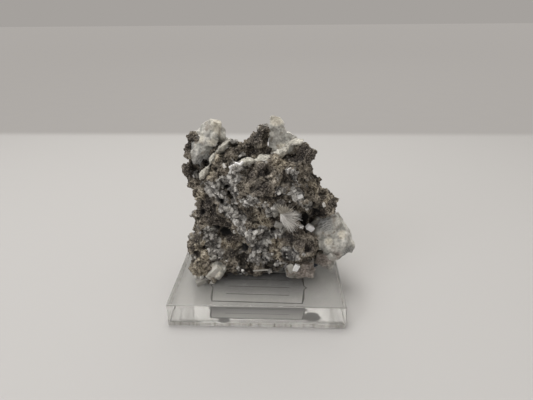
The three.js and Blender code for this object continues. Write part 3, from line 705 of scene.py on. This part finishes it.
def block_crystal():
    bpy.ops.mesh.primitive_cube_add(size=2)
    bpy.ops.object.mode_set(mode="EDIT")
    bpy.ops.mesh.bevel(offset=0.35, segments=1, affect="EDGES")
    bpy.ops.object.mode_set(mode="OBJECT")


block = small_shape("block_shape", block_crystal)
cube = small_shape("cube_shape", lambda: bpy.ops.mesh.primitive_cube_add(size=2))

frost_paint, at = new_material("milky_crystal_crust")
frost = (0.6 * kept_value(at, "tone") + 0.4 * at.noise(0.8, detail=3)).ramp(
    (0.2, "#6f6c68"), (0.4, "#9b9893"), (0.6, "#c2bfb9"), (0.8, "#f0eee9"))
milky = principled(at, base_color=frost, roughness=0.45, ior=1.5)
clear = principled(at, base_color=paint("#eceae6"), roughness=0.1, ior=1.49, transmission_weight=1.0)
clearness = (at.noise(0.9, detail=3) - 0.4 + 0.3 * (1 - kept_value(at, "tone"))).between(0.1, 0.35) * 0.6
shown(at, at.add("ShaderNodeMixShader", None, {0: clearness, 1: milky, 2: clear}))
for shape, name, spacing, size, seed in (
        (block, "crust_blocks", 1.15, (0.25, 0.85), 21), (cube, "crust_grains", 0.66, (0.1, 0.42), 33)):
    crust = scattered(rock, shape, name, spacing, crusted_ground, size, seed, sink=0.15)
    finish_piece(crust, name, frost_paint, "glassy_crystal")

# The glassy masses: crystals grown together in blocks on the rock, clear to cloudy grey-white, with flat
# faces and worn tops of cream white.
MASS_VOXEL = 0.32
FACETS_SHARP_FROM = 25
CREAM_SPOTS = (
    (-12, -2, 53, 4), (-17, -5, 50, 3), (-13, -6, 49, 2.5), (5.4, 0, 54, 3.4), (7, -3, 47, 2.4),
    (9, -3, 49, 2), (25.4, -8, 21, 2.2), (21.5, -9.5, 19.5, 2), (-13, -14.5, 11.5, 3.5),
)
SMOKE_SPOTS = (
    (-15.5, -6.5, 42, 4.8), (-13.5, -6, 44, 4), (-12, -3, 49.4, 1.8), (-19.5, -3, 46.5, 2.5),
    (-12, -6, 46, 3), (8.5, -4.2, 46.4, 2.4), (27, -8, 15, 4), (24, -11.5, 19, 1.8), (4, -1, 47, 2.0),
    (20, -8, 24.5, 4),
)
ROSY_SPOTS = (
    (14, -12, 11, 6), (20, -10, 12.5, 4.5), (24, -11, 14.5, 3), (10, -13, 11, 3), (-10.5, -12, 9.5, 2.5),
)
GROWTH_CENTRE = (24, -8, 14)  # of the fine curved bands in the smoky parts
GROWTH_BANDS = 11.0  # how fast they follow each other
GROWN_CRYSTALS = {  # the middle, half-sizes and turn of each crystal that stands out of a mass
    "crystal_mass_upper_left": (
        ((-13.6, -1.6, 52.2), (2.8, 2.4, 2.2), (0, 14, 10)),
        ((-13.8, -4.4, 49.6), (2.5, 1.3, 1.8), (-10, 14, -20)),
        ((-17.4, -5.0, 44.6), (1.9, 1.2, 2.2), (8, -16, 20)),
        ((-14.6, -6.2, 42.4), (1.7, 1.2, 2.2), (8, 12, 10)),
    ),
    "crystal_fin_top": (
        ((5.3, 0.1, 52.0), (2.1, 1.3, 2.8), (0, 12, 12)),
        ((4.9, -1.0, 50.2), (1.9, 1.2, 2.8), (4, 14, 25)),
        ((6.8, -2.2, 47.2), (2.2, 1.2, 1.8), (-8, 24, 20)),
        ((3.6, -2.4, 46.2), (1.3, 1.0, 2.0), (10, -12, 10)),
    ),
    "crystal_mass_right": (
        ((21.0, -8.6, 21.0), (2.6, 1.4, 2.4), (10, 24, 20)),
        ((22.6, -9.2, 16.8), (2.8, 1.4, 2.2), (14, -20, 30)),
    ),
    "crystal_mass_foot": (((13.6, -12.4, 11.8), (2.3, 1.2, 1.5), (-8, 12, 10)),),
    "crystal_patch_left_foot": (((-13.0, -14.4, 11.2), (2.4, 1.0, 1.5), (10, -28, 12)),),
}
FLAT_FACES = {  # a place on each flat face of a mass, and the way the face looks
    "crystal_mass_upper_left": (
        ((-15.3, -3, 53.5), (-0.5, 0, 0.87)), ((-12.3, -3, 54.1), (0.34, 0, 0.94)),
        ((-9.5, -3, 51.9), (0.81, 0, 0.58)),
        ((-14.5, -4.9, 49), (-0.1, -0.94, 0.33)), ((-16, -6.2, 44), (-0.2, -0.97, -0.1)),
        ((-19.4, -3, 46), (-0.97, -0.1, 0.1)), ((-16, -4, 51), (-0.45, -0.72, 0.52)),
        ((-11.8, -4.2, 49.6), (0.55, -0.8, 0.24)), ((-13.8, -5.2, 46.4), (0.3, -0.9, -0.3)),
    ),
    "crystal_fin_top": (
        ((3.4, -1, 50), (-1, 0, 0.03)), ((8.1, -1, 52.7), (0.75, 0, 0.66)),
        ((6.1, -1.7, 48.6), (0.05, -0.94, 0.33)),
    ),
    "crystal_mass_right": (
        ((26.5, -5, 22.5), (0.8, 0, 0.59)), ((29.5, -5, 17.7), (0.97, 0, 0.23)),
        ((28.2, -5, 13.6), (0.8, 0, -0.6)), ((22, -8.3, 22), (0.1, -0.9, 0.42)),
        ((18.2, -7, 23.4), (-0.74, -0.3, 0.6)), ((23, -10, 15), (0.12, -0.98, -0.12)),
        ((24.7, -5, 9.6), (0.4, 0, -0.92)),
    ),
    "crystal_mass_foot": (((13.6, -13.2, 11.5), (0.1, -0.97, 0.2)),),
    "crystal_patch_left_foot": (((-13.2, -14.8, 11.4), (-0.1, -0.95, 0.25)),),
}


def crystal(place, half, turn):
    """A squat crystal with cut edges. Its middle and half-sizes are in millimetres, its turn in degrees."""
    bpy.ops.object.select_all(action="DESELECT")
    bpy.ops.mesh.primitive_cube_add(size=2, location=Vector(place) * MM, scale=Vector(half) * MM,
                                    rotation=[math.radians(angle) for angle in turn])
    bpy.ops.object.transform_apply()
    bpy.ops.object.mode_set(mode="EDIT")
    bpy.ops.mesh.bevel(offset=0.25 * min(half) * MM, segments=1, affect="EDGES")
    bpy.ops.object.mode_set(mode="OBJECT")
    return bpy.context.object


def flatten(piece, faces):
    """Presses the points of a piece that stand out over its flat faces down on them."""
    places = points_of(piece)
    for place, way in faces:
        way = np.array(way) / np.linalg.norm(way)
        over = (places - np.array(place) * MM) @ way
        places -= np.outer(over.clip(0), way)
    put_points(piece, places)


def mass_relief(geometry):
    spot = geometry.add("GeometryNodeInputPosition")
    blocks = 0.5 - spot.shaken(3.0, 1.5).cells(3.2, metric="CHEBYCHEV")
    facets = 0.5 - spot.shaken(1.2, 0.6).cells(1.3, metric="CHEBYCHEV")
    height = blocks * 0.35 + facets * 0.2 + (spot.noise(1.4, 3) - 0.5) * 0.3
    return raised(kept(geometry, "height", height), height)


glassy_paint, at = new_material("cloudy_crystal")
cloud = at.shaken(3.0, 2.0).noise(2.0, detail=4, roughness=0.6)
fine = at.noise(0.6, detail=3)
tone = kept_value(at, "tone")
cream = (kept_value(at, "cream") * 1.2 + cloud - 0.5).between(0.2, 0.8) * 0.8
smoke = (kept_value(at, "smoke") * 1.3 + cloud - 0.5).between(0.15, 0.8) * 0.85
body = (0.6 * cloud + 0.25 * fine + 0.15 * tone).ramp(
    (0.36, "#85847f"), (0.46, "#b2b1aa"), (0.54, "#cfcdc6"), (0.64, "#efede6"))
body = cream.mix(body, (0.5 * cloud + 0.5 * fine).ramp((0.35, "#b3ac9b"), (0.6, "#ebe6d8")))
stain = at.noise(1.7, detail=4, roughness=0.6).between(0.53, 0.64)
body = (stain * 0.65).mix(body, paint("#8f8374"))
body = smoke.mix(body, fine.ramp((0.3, "#4e4f4f"), (0.7, "#9d9d9a")))
rosy = (kept_value(at, "rosy") * 1.3 + cloud - 0.5).between(0.2, 0.8) * 0.85
body = rosy.mix(body, fine.ramp((0.35, "#6a5f59"), (0.5, "#95887f"), (0.68, "#c6bcb3")))
# Painted shade in the low places of the masses' relief.
cavity_painted_shade = (kept_value(at, "height") * -1.0).between(0.1, 0.8)
body = (cavity_painted_shade * 0.3).mix(body, paint("#4b4946"))
reach = at.shaken(2.0, 1.0).vector("DISTANCE", tuple(v * MM for v in GROWTH_CENTRE), output="Value") / MM
bands = reach.maths("SINE", reach * GROWTH_BANDS).between(-0.4, 0.9)
body = (bands * smoke * 0.35).mix(body, paint("#e4e6e4"))
veiled = principled(at, base_color=body, roughness=0.4, ior=1.5, subsurface_weight=0.6,
                    subsurface_radius=(1.0, 1.0, 1.0), subsurface_scale=1.2 * MM,
                    normal=bump(at, fine, 0.12))
limpid = principled(at, base_color=paint("#ecece9"), roughness=0.15, ior=1.49, transmission_weight=1.0,
                    normal=bump(at, fine, 0.08))
glass_share = (at.noise(2.6, detail=3) - 0.35 * cream).between(0.45, 0.62) * 0.35
shown(at, at.add("ShaderNodeMixShader", None, {0: glass_share, 1: veiled, 2: limpid}))

for number, (node, name, wear) in enumerate((
        ("crystal_mass_upper_left", "upper_left_crystals", 12), ("crystal_fin_top", "top_fin_crystals", 6),
        ("crystal_mass_right", "right_crystals", 12), ("crystal_mass_foot", "foot_crystals", 10),
        ("crystal_patch_left_foot", "left_foot_crystals", 10))):
    mass = copy_of(node, MASS_VOXEL, [crystal(*each) for each in GROWN_CRYSTALS[node]], wear)
    flatten(mass, FLAT_FACES[node])
    by_nodes(mass, "blocky_relief", mass_relief)
    blocks = scattered(mass, block, name + "_blocks", 1.3,
                       lambda spot: spot.noise(2.5).between(0.5, 0.65) * 0.5, (0.35, 0.75), 40 + number,
                       tilt=8, sink=0.66)
    for piece in (mass, blocks):
        keep_spots(piece, "cream", CREAM_SPOTS)
        keep_spots(piece, "smoke", SMOKE_SPOTS)
        keep_spots(piece, "rosy", ROSY_SPOTS)
    keep_value(mass, "tone", 0.5)
    stand_on(mass, SLAB_TOP + 0.05)
    only(mass)
    bpy.ops.object.shade_smooth_by_angle(angle=math.radians(FACETS_SHARP_FROM))
    finish_piece(mass, name, glassy_paint, "glassy_crystal", node)
    finish_piece(blocks, name + "_blocks", glassy_paint, "glassy_crystal")

# The single crystals: white blocks at the vug's lower edge, a bright one at the foot, a clear lump under the
# right mass, a splinter along the foot and white blades beside the brow.
SINGLE_CRYSTALS = (  # the middle, half-sizes, turn and whiteness of each
    ((15.6, -8.5, 23.4), (1.2, 0.8, 0.85), (10, 38, 20), 1.2),
    ((13.0, -9.2, 24.1), (0.6, 0.5, 0.45), (5, 18, 15), 1.0),
    ((5.7, -11.3, 31.5), (0.7, 0.5, 1.1), (6, 12, 20), 0.5),
    ((5.3, -11.5, 29.4), (0.8, 0.5, 0.8), (10, -14, 40), 0.45),
    ((6.2, -11.0, 25.6), (1.2, 0.6, 0.9), (-12, 26, 10), 0.45),
    ((8.1, -10.2, 24.2), (0.9, 0.6, 0.7), (10, -30, 30), 0.4),
    ((11.5, -15.1, 13.5), (0.75, 0.5, 1.15), (8, 24, 12), 1.0),
    ((9.9, -14.8, 13.0), (0.9, 0.7, 1.3), (-6, -16, 30), 0.6),
    ((0.9, -13.2, 11.2), (2.3, 0.2, 0.15), (0, -3, 4), 0.7),
    ((22.4, -11.0, 14.8), (1.3, 0.9, 0.9), (20, 30, 40), 0.5),
    ((-13.3, -14.9, 11.4), (2.4, 0.7, 1.2), (14, -38, 16), 0.75),
    ((-17.0, -15.9, 8.7), (1.5, 0.8, 0.9), (8, -18, 24), 0.5),
    ((-6.8, -9.6, 43.2), (1.1, 0.3, 0.3), (0, -24, 10), 1.0),
    ((-5.2, -9.8, 43.9), (0.9, 0.3, 0.3), (10, 12, -20), 1.0),
    ((-4.2, -10.2, 44.2), (0.7, 0.4, 0.3), (0, -40, 30), 0.95),
    ((-7.4, -9.4, 41.8), (0.3, 0.3, 0.9), (0, 16, 10), 0.9),
    ((12.3, -10.9, 34.6), (0.8, 0.5, 0.5), (0, -20, 10), 0.95),
)

quartz_paint, at = new_material("white_crystal")
sheen = (0.75 * kept_value(at, "tone") + 0.25 * at.noise(0.7, detail=3)).ramp(
    (0.4, "#87857f"), (0.7, "#cfccc4"), (0.9, "#ffffff"))
shown(at, principled(at, base_color=sheen, roughness=0.25, ior=1.5, subsurface_weight=0.2,
                     subsurface_radius=(1.0, 1.0, 1.0), subsurface_scale=0.4 * MM))
singles = []
for *shape, tone in SINGLE_CRYSTALS:
    singles.append(crystal(*shape))
    keep_value(singles[-1], "tone", tone)
only(singles[0])
for single in singles[1:]:
    single.select_set(True)
bpy.ops.object.join()
finish_piece(singles[0], "single_crystals", quartz_paint, "glassy_crystal")

# The pale veins: bands of fine-grained cream zeolite, one along the brow and one down the left ridge. They
# have grown fast to the rock, and small crumbs of the same mineral stand on them.
VEIN_VOXEL = 0.26
VEIN_SHRINK = 0.3


def vein_relief(geometry):
    spot = geometry.add("GeometryNodeInputPosition")
    nodules = 0.5 - spot.shaken(0.8, 0.8).cells(0.9)
    height = nodules * 0.3 + (spot.noise(1.8, 3) - 0.5) * 0.7 + (spot.noise(0.5, 3) - 0.5) * 0.3
    return raised(kept(geometry, "height", height), height - VEIN_SHRINK)


vein_paint, at = new_material("chalky_vein")
grain = 0.5 * at.noise(0.45, detail=4) + 0.5 * at.noise(1.6, detail=3)
colour = grain.ramp((0.34, "#77746c"), (0.44, "#a5a298"), (0.53, "#c3c0b5"), (0.66, "#e4e1d6"))
# Painted shade in the low places of the vein's relief.
colour = ((kept_value(at, "height") * -1.0).between(0.0, 0.5) * 0.6).mix(colour, paint("#4c4842"))
shown(at, principled(at, base_color=colour, roughness=0.65, normal=bump(at, at.noise(0.2, 3), 0.08)))
for place_name in ("brow", "left"):
    vein = copy_of("pale_vein_" + place_name, VEIN_VOXEL)
    by_nodes(vein, "vein_relief", vein_relief)
    only(vein)
    bpy.ops.object.shade_smooth_by_angle(angle=math.radians(SHARP_FROM))
    finish_piece(vein, "vein_" + place_name, vein_paint, "pale_vein", "pale_vein_" + place_name)
    crumbs = scattered(vein, cube, "vein_crumbs_" + place_name, 0.7, lambda spot: spot.noise(1.2) * 0.4,
                       (0.1, 0.24), 60)
    finish_piece(crumbs, "vein_crumbs_" + place_name, frost_paint, "pale_vein")

# The mesolite: silky white needles finer than a hair, which spread in bundles from one point in a fan in the
# front vug, with a soft beige tuft over it, and a smaller tuft of short blades under the brow.
FAN_FLATNESS = 0.45
BUNDLE_SIZE = 115
DOME_CUT = 0.12  # where the unit dome that the needles start from ends at the back


def needle_shape():
    bpy.ops.mesh.primitive_cone_add(vertices=3, radius1=1, radius2=0.25, depth=1, location=(0, 0, 0.5))
    bpy.ops.object.transform_apply()


def needle_fan(name, root, length, count, thickness, lead, spread, seed, silk, *nodes):
    """Bundles of needles from a root. They stand round the lead, where the dot product of the lead and a
    needle's way is above the spread, longest along the lead."""
    bpy.ops.object.select_all(action="DESELECT")
    bpy.ops.mesh.primitive_ico_sphere_add(subdivisions=4, radius=1)
    dome = bpy.context.object
    bpy.ops.object.mode_set(mode="EDIT")
    bpy.ops.mesh.select_all(action="SELECT")
    bpy.ops.mesh.bisect(plane_co=(0, DOME_CUT, 0), plane_no=(0, 1, 0), clear_outer=True)
    bpy.ops.mesh.select_all(action="SELECT")
    bpy.ops.transform.resize(value=(1, FAN_FLATNESS, 1))
    bpy.ops.object.mode_set(mode="OBJECT")

    def build(geometry):
        way = geometry.add("GeometryNodeInputPosition")
        bundle = way.vector("MULTIPLY", (1, 0.3, 1)).noise(BUNDLE_SIZE, detail=1).between(0.44, 0.54)
        ahead = way.vector("DOT_PRODUCT", lead, output="Value")
        reach = (0.45 + 0.55 * ahead.between(spread, 0.9)) * (0.7 + 0.3 * bundle)
        reach = reach * random_number(geometry, 0.7, 1.0, seed + 1) * (length * MM)
        density = bundle * ahead.between(spread - 0.1, spread + 0.2) * (count / 2.0)
        points = geometry.add("GeometryNodeDistributePointsOnFaces", None,
                              {"Mesh": geometry, "Density": density, "Seed": seed}, output="Points")
        turned = geometry.add("FunctionNodeAlignEulerToVector", {"axis": "Z"}, {"Vector": way})
        points = kept(kept(points, "turn", turned, "FLOAT_VECTOR"), "reach", reach)
        middle = geometry.add("ShaderNodeCombineXYZ", None, {i: v * MM for i, v in enumerate(root)})
        rooted = geometry.add("GeometryNodeSetPosition", None, {"Geometry": points, "Position": middle})
        thick = random_number(geometry, 0.5 * thickness * MM, thickness * MM, seed + 2)
        sizes = geometry.add("ShaderNodeCombineXYZ", None, {0: thick, 1: thick, 2: stored(geometry, "reach")})
        return copies_at(geometry, rooted, needle, stored(geometry, "turn", "FLOAT_VECTOR"), sizes, seed + 3)

    by_nodes(dome, name, build)
    finish_piece(dome, name, silk, "mesolite", *nodes)


needle = small_shape("needle_shape", needle_shape)
silks = []
for name, stops in (
        ("silky_needles", ((0.0, "#a5a29d"), (0.35, "#d3d0ca"), (0.7, "#f6f4f0"))),
        ("beige_needles", ((0.0, "#aba498"), (0.5, "#d0cabe"), (1.0, "#eeeae1")))):
    silk, at = new_material(name)
    shown(at, principled(at, base_color=kept_value(at, "tone").ramp(*stops), roughness=0.4, ior=1.5))
    silks.append(silk)
white_silk, beige_silk = silks
needle_fan("mesolite_needles", (6.7, -12.1, 29.6), 6.7, 1000, 0.11, (0.9, -0.12, -0.42), 0.5, 7, white_silk,
           "mesolite_spray")
needle_fan("mesolite_soft_tuft", (7.8, -11.4, 29.0), 4.9, 1900, 0.13, (0.12, -0.35, 0.93), 0.55, 17,
           beige_silk)
needle_fan("mesolite_tuft", (-5.9, -9.6, 42.2), 2.7, 500, 0.16, (0.3, -0.4, 0.8), 0.1, 9, white_silk,
           "mesolite_tuft_brow")

for shape in (chip, cube, block, needle):
    bpy.data.objects.remove(shape)
